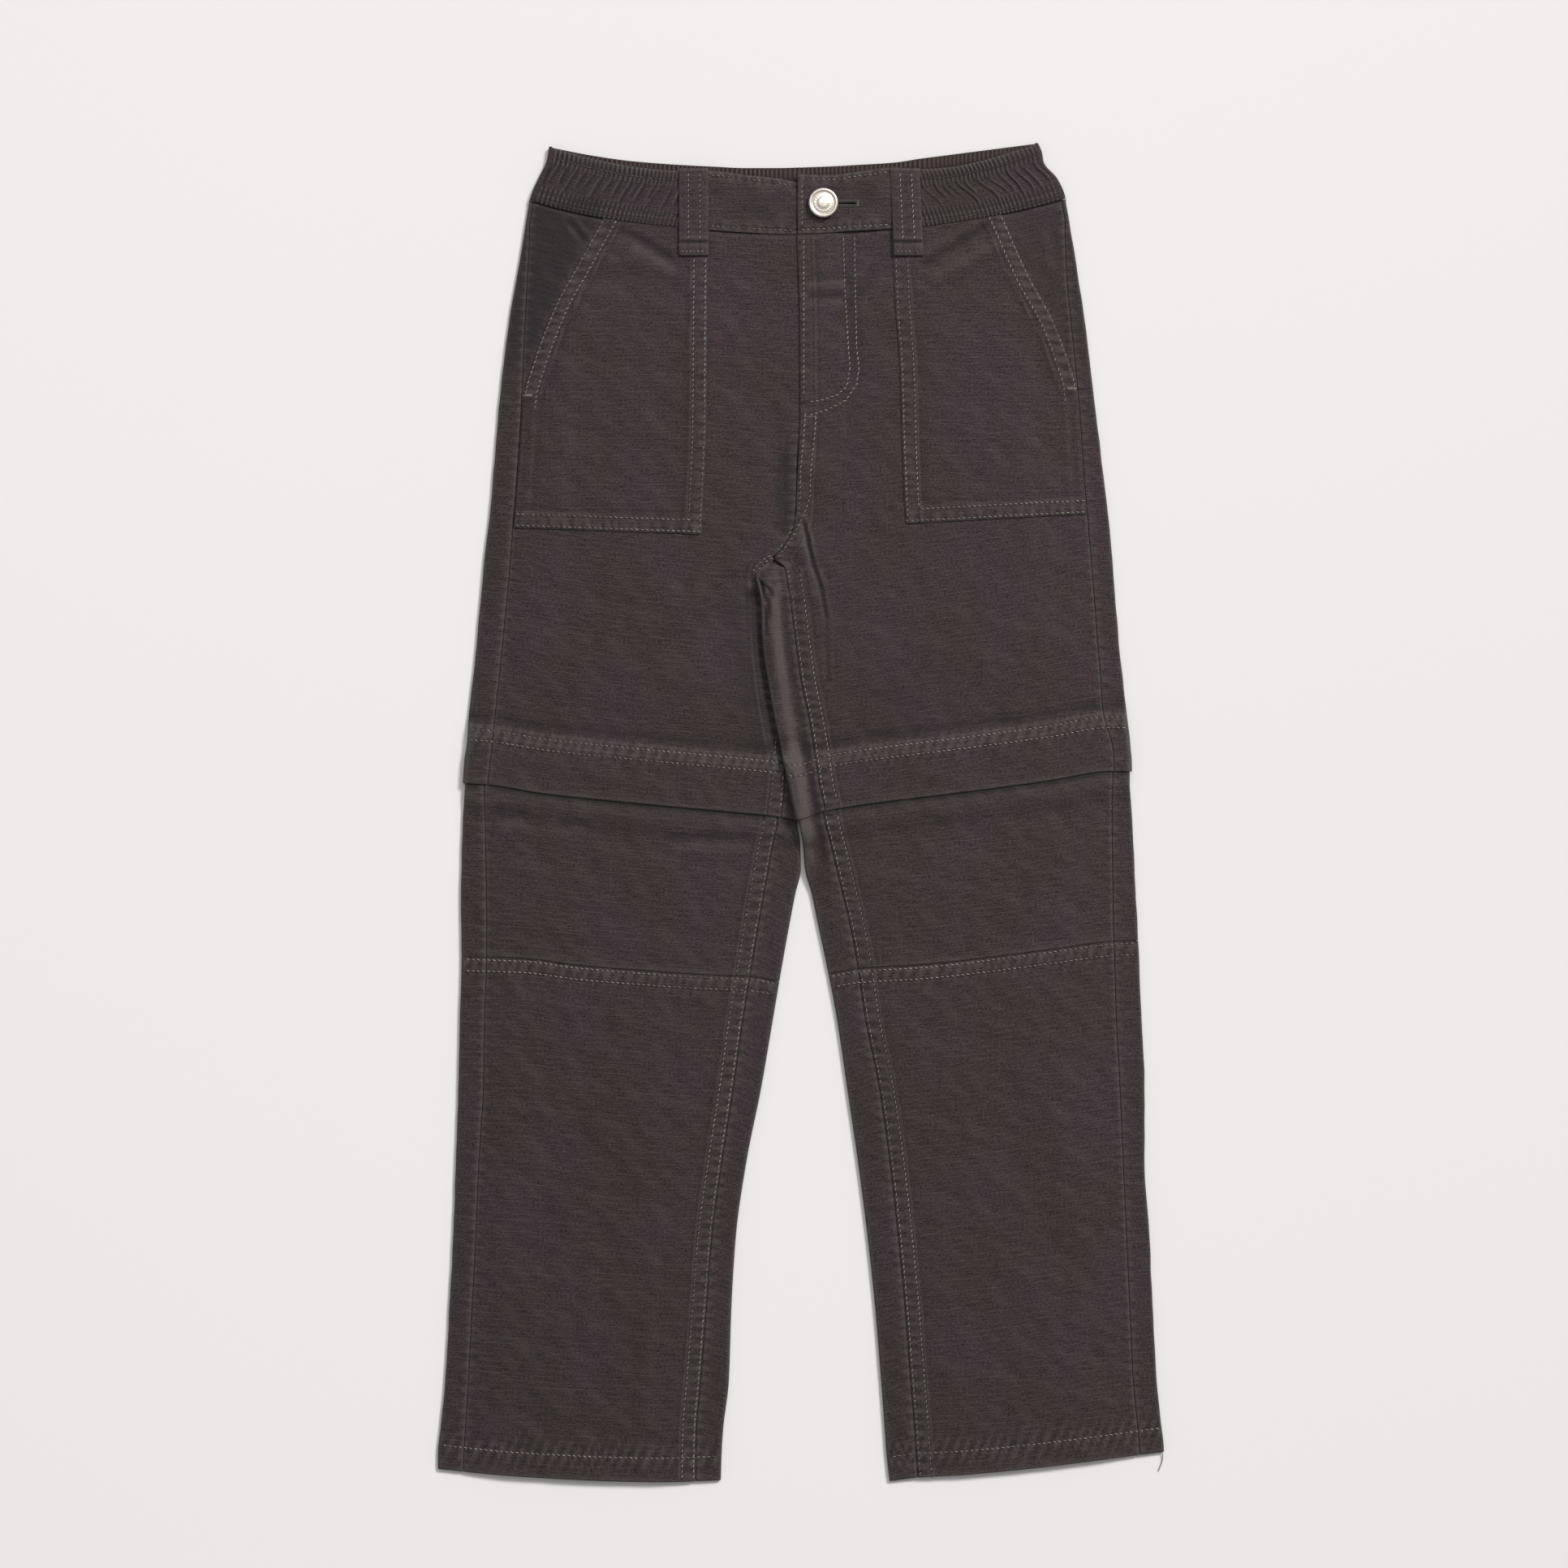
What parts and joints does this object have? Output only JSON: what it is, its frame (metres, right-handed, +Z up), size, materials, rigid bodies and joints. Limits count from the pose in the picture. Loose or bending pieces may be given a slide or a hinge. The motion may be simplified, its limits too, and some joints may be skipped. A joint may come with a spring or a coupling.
{
  "type": "trousers laid flat",
  "caption": "Child's straight-leg trousers with gathered elastic waist, patch pockets and knee flaps, laid flat on their back with the front up.",
  "frame": {"origin": "middle of the bounding box on the surface that the trousers lie on", "axes": "+Z up from the back of the trousers to the front, +Y from the hems to the waist, +X towards the picture's right, which is the wearer's left"},
  "size_m": [0.4202, 0.7742, 0.011],
  "materials": {
    "cloth": "matt cotton ripstop, dark brown-charcoal",
    "button_metal": "worn cream-silver metal"
  },
  "bodies": {
    "root": {"front_upper_left": "cloth", "front_upper_right": "cloth", "back_upper_left": "cloth", "back_upper_right": "cloth", "front_middle_left": "cloth", "front_middle_right": "cloth", "back_middle_left": "cloth", "back_middle_right": "cloth", "front_lower_left": "cloth", "front_lower_right": "cloth", "back_lower_left": "cloth", "back_lower_right": "cloth", "pocket_left": "cloth", "pocket_right": "cloth", "waistband_left": "cloth", "waistband_right": "cloth", "waistband_gathered": "cloth", "belt_loop_left": "cloth", "belt_loop_right": "cloth", "button": "button_metal"}
  },
  "joints": []
}
